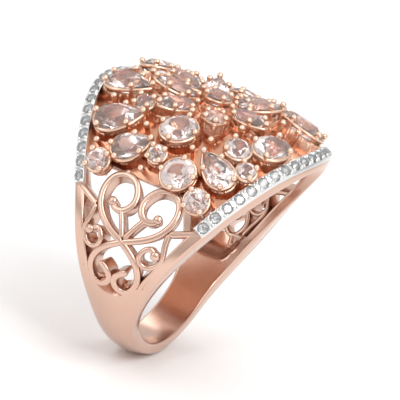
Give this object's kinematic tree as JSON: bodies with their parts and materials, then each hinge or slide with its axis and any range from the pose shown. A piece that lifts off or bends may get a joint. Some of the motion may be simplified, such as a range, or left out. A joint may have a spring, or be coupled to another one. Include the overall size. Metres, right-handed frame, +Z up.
{
  "type": "cocktail ring",
  "caption": "Wide domed finger ring: a flower of pink faceted stones between two white diamond rows, over pierced scrollwork shoulders on a plain narrow shank.",
  "frame": {"origin": "centre of the finger bore", "axes": "+Y along the finger towards the ring's back edge, +X towards the right shoulder, +Z up through the middle of the head"},
  "size_m": [0.0232, 0.0186, 0.022],
  "materials": {
    "rose_gold": "polished rose gold",
    "white_gold": "bright white plating",
    "morganite": "faceted pale pink stone",
    "diamond": "faceted clear stone"
  },
  "bodies": {
    "root": {"back_channel": "white_gold", "back_pear_left": "morganite", "back_pear_right": "morganite", "back_rail": "rose_gold", "back_row_diamonds": "diamond", "centre_stone": "morganite", "corner_round_left": "morganite", "corner_round_right": "morganite", "edge_oval_left": "morganite", "edge_oval_right": "morganite", "edge_pear_left": "morganite", "edge_pear_right": "morganite", "edge_round_left": "morganite", "edge_round_right": "morganite", "flower_settings": "rose_gold", "front_channel": "white_gold", "front_pear_left": "morganite", "front_pear_right": "morganite", "front_rail": "rose_gold", "front_row_diamonds": "diamond", "gallery_bridge": "rose_gold", "gallery_plate": "rose_gold", "gap_round_left": "morganite", "gap_round_right": "morganite", "inner_oval_left": "morganite", "inner_oval_right": "morganite", "inner_round_left": "morganite", "inner_round_right": "morganite", "left_settings": "rose_gold", "petal_1_left": "morganite", "petal_1_right": "morganite", "petal_2_left": "morganite", "petal_2_right": "morganite", "petal_3_left": "morganite", "petal_3_right": "morganite", "petal_4_left": "morganite", "petal_4_right": "morganite", "right_settings": "rose_gold", "scrollwork_left": "rose_gold", "scrollwork_right": "rose_gold", "shank": "rose_gold", "shoulder_oval_left": "morganite", "shoulder_oval_right": "morganite", "shoulder_round_left": "morganite", "shoulder_round_right": "morganite", "small_pear_left": "morganite", "small_pear_right": "morganite", "small_round_left": "morganite", "small_round_right": "morganite"}
  },
  "joints": []
}
